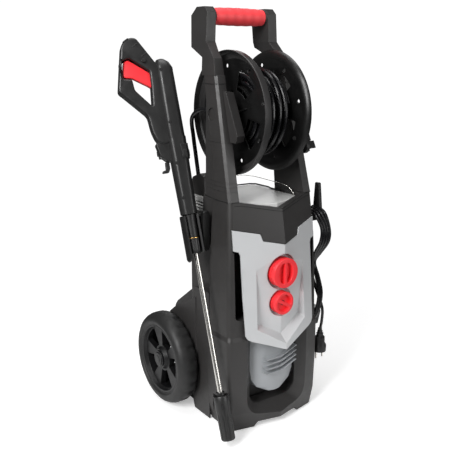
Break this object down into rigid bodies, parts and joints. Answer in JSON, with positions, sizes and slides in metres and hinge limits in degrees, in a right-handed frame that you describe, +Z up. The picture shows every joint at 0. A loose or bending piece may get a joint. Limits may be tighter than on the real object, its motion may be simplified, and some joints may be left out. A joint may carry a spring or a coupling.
{
  "type": "pressure washer",
  "caption": "Upright electric pressure washer on two wheels with a hose reel between its columns, a spray gun and lance held at its side, and a handle over the top.",
  "frame": {"origin": "on the floor, inside the three-sided foot rim of the base tray, on the middle plane between the wheels", "axes": "+Z up; the front panel faces -Y; +X is the side of the cable hooks, -X the side of the gun"},
  "size_m": [0.4195, 0.3665, 0.867],
  "materials": {
    "casing_black": "fine-grained moulded ABS, satin",
    "panel_silver": "silver-grey painted plastic, satin",
    "cover_grey": "grey moulded plastic",
    "deck_grey": "light grey moulded plastic",
    "tank_white": "translucent blow-moulded plastic",
    "red_grip": "soft red overmoulded grip",
    "red_plastic": "bright red moulded plastic",
    "hub_grey": "moulded black hub",
    "tyre_rubber": "hard black tyre",
    "hose_rubber": "black hose and cable jacket",
    "steel": "plated steel",
    "cast_metal": "die-cast aluminium",
    "brass": "machined brass"
  },
  "bodies": {
    "chassis": {"base_tray": "casing_black", "front_housing": "casing_black", "rear_housing": "casing_black", "front_panel": "panel_silver", "motor_cover": "cover_grey", "top_deck": "deck_grey", "column_left": "casing_black", "column_right": "casing_black", "handle_frame": "casing_black", "handle_grip": "red_grip", "reel_bearing_left": "casing_black", "reel_bearing_right": "casing_black", "feed_hose": "hose_rubber", "hose_guide": "casing_black", "guide_wire": "steel", "inlet_connector": "brass", "pump_body": "cast_metal", "motor_stator": "cast_metal", "capacitor": "cast_metal", "switch_box": "casing_black", "regulator_valve": "brass", "detergent_tank": "tank_white", "gun_holster": "casing_black", "cable_hook_upper": "casing_black", "cable_hook_lower": "casing_black", "power_cord": "hose_rubber", "power_plug": "casing_black", "wheel_axle": "steel", "housing_screws": "steel", "pump_pistons": "steel"},
    "wheel_left": {"tyre_left": "tyre_rubber", "hub_left": "hub_grey", "cap_left": "hub_grey"},
    "wheel_right": {"tyre_right": "tyre_rubber", "hub_right": "hub_grey", "cap_right": "hub_grey"},
    "reel": {"reel_drum": "casing_black", "reel_flange_left": "casing_black", "reel_flange_right": "casing_black", "reel_axle": "steel", "hose_coil": "hose_rubber", "crank_arm": "casing_black"},
    "crank_grip": {"crank_grip": "casing_black"},
    "switch_knob": {"switch_knob": "red_plastic"},
    "regulator_knob": {"regulator_knob": "red_plastic"},
    "rotor": {"motor_rotor": "steel", "motor_fan": "casing_black", "swash_plate": "steel"},
    "tank_cap": {"tank_cap": "casing_black"},
    "gun": {"gun_shell_left": "casing_black", "gun_shell_right": "casing_black", "gun_valve": "brass", "gun_inlet": "casing_black"},
    "gun_trigger": {"gun_trigger": "red_plastic"},
    "trigger_lock": {"trigger_lock": "casing_black"},
    "lance": {"lance_socket": "casing_black", "lance_tube": "steel", "nozzle_body": "casing_black"},
    "nozzle_sleeve": {"nozzle_sleeve": "casing_black"}
  },
  "joints": [
    {"name": "wheel_left_spin", "type": "hinge", "parent": "chassis", "child": "wheel_left", "pos_m": [-0.148, 0.0231, 0.1052], "axis": [1, 0, 0], "continuous": true},
    {"name": "wheel_right_spin", "type": "hinge", "parent": "chassis", "child": "wheel_right", "pos_m": [0.148, 0.0231, 0.1052], "axis": [1, 0, 0], "continuous": true},
    {"name": "reel_spin", "type": "hinge", "parent": "chassis", "child": "reel", "pos_m": [0, -0.0968, 0.6589], "axis": [1, 0, 0], "continuous": true},
    {"name": "crank_grip_fold", "type": "hinge", "parent": "reel", "child": "crank_grip", "pos_m": [0.1245, -0.136, 0.58301], "axis": [0, 0.8885, -0.4589], "range_deg": [0, 90]},
    {"name": "switch_turn", "type": "hinge", "parent": "chassis", "child": "switch_knob", "pos_m": [0, -0.205, 0.341], "axis": [0, -1, 0], "range_deg": [0, 90]},
    {"name": "regulator_turn", "type": "hinge", "parent": "chassis", "child": "regulator_knob", "pos_m": [0, -0.205, 0.275], "axis": [0, -1, 0], "range_deg": [0, 270]},
    {"name": "motor_spin", "type": "hinge", "parent": "chassis", "child": "rotor", "pos_m": [0, -0.044, 0.15], "axis": [0, 0, 1], "continuous": true},
    {"name": "tank_cap_turn", "type": "hinge", "parent": "chassis", "child": "tank_cap", "pos_m": [0, 0.02, 0.405], "axis": [0, 1, 0], "range_deg": [0, 90]},
    {"name": "gun_lift", "type": "slide", "parent": "chassis", "child": "gun", "axis": [0, 0.3, 0.9539], "range_m": [0, 0.25]},
    {"name": "trigger_pull", "type": "hinge", "parent": "gun", "child": "gun_trigger", "pos_m": [-0.17255, 0.00344, 0.71601], "axis": [0.342, 0.8964, -0.2819], "range_deg": [0, 8], "stiffness_Nm_per_rad": 0.5},
    {"name": "trigger_lock_slide", "type": "slide", "parent": "gun", "child": "trigger_lock", "axis": [0.342, 0.8964, -0.2819], "range_m": [0, 0.004]},
    {"name": "lance_twist", "type": "hinge", "parent": "gun", "child": "lance", "pos_m": [-0.15, -0.104, 0.40176], "axis": [0, 0.3, 0.9539], "range_deg": [0, 90]},
    {"name": "nozzle_turn", "type": "hinge", "parent": "lance", "child": "nozzle_sleeve", "pos_m": [-0.15, -0.21202, 0.05835], "axis": [0, 0.3, 0.9539], "range_deg": [0, 120]}
  ]
}
